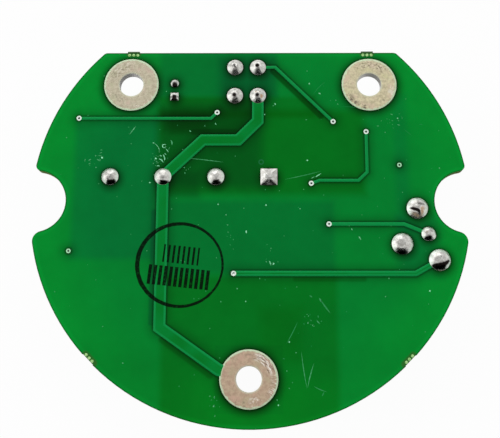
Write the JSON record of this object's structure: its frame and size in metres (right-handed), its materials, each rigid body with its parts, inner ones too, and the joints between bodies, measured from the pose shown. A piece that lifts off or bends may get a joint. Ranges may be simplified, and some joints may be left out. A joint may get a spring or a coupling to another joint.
{
  "type": "industrial control board",
  "caption": "Round control board with a flat top edge, side notches, ringed screw holes, a terminal strip, a power header and a round socket.",
  "frame": {"origin": "centre of the circle through the three mounting holes, on the solder face of the board", "axes": "+X along the flat edge, +Y towards the flat edge, +Z out of the solder face; the components hang on the -Z side"},
  "size_m": [0.077, 0.0677, 0.0155],
  "materials": {
    "solder_mask_laminate": "glossy green solder mask over glass-epoxy laminate, lightly scratched",
    "tinned_ring": "dull hot-dip tin over copper, mottled",
    "masked_copper": "copper foil under green solder mask",
    "tinned_copper": "tinned copper, satin",
    "solder": "bright tin solder",
    "black_moulding": "satin black moulded polyester",
    "tinned_brass": "tin-plated brass strip",
    "zinc_plated_steel": "bright zinc-plated steel",
    "natural_nylon": "natural nylon, slightly translucent",
    "tinned_pin": "matt tin plating",
    "nickel_plated_brass": "nickel plating",
    "white_insulator": "white fluoropolymer",
    "gold_plated_contact": "gold plating",
    "chip_moulding": "black epoxy moulding",
    "resistor_body": "black glazed ceramic",
    "capacitor_body": "tan ceramic"
  },
  "bodies": {
    "root": {"board": "solder_mask_laminate", "capacitor_end_caps": "tinned_pin", "chip_capacitors": "capacitor_body", "chip_resistors": "resistor_body", "component_tracks": "masked_copper", "control_chip": "chip_moulding", "control_chip_leads": "tinned_pin", "earth_track": "masked_copper", "header_housing": "natural_nylon", "header_link_track": "masked_copper", "header_pin_1": "tinned_pin", "header_pin_2": "tinned_pin", "header_pin_3": "tinned_pin", "header_pin_4": "tinned_pin", "header_solder": "solder", "jack_body": "nickel_plated_brass", "jack_contact": "gold_plated_contact", "jack_insulator": "white_insulator", "jack_return_track": "masked_copper", "jack_signal_track": "masked_copper", "jack_solder": "solder", "jumper_base": "black_moulding", "jumper_pins": "tinned_pin", "jumper_solder": "solder", "left_link_track": "masked_copper", "mounting_ring_bottom": "tinned_ring", "mounting_ring_left": "tinned_ring", "mounting_ring_right": "tinned_ring", "plated_holes": "tinned_copper", "resistor_end_caps": "tinned_pin", "right_link_track": "masked_copper", "surge_diode": "chip_moulding", "surge_diode_tabs": "tinned_pin", "terminal_base": "black_moulding", "terminal_plate_1": "tinned_brass", "terminal_plate_2": "tinned_brass", "terminal_plate_3": "tinned_brass", "terminal_plate_4": "tinned_brass", "terminal_screws": "zinc_plated_steel", "terminal_solder": "solder", "via_barrels": "tinned_copper"}
  },
  "joints": []
}
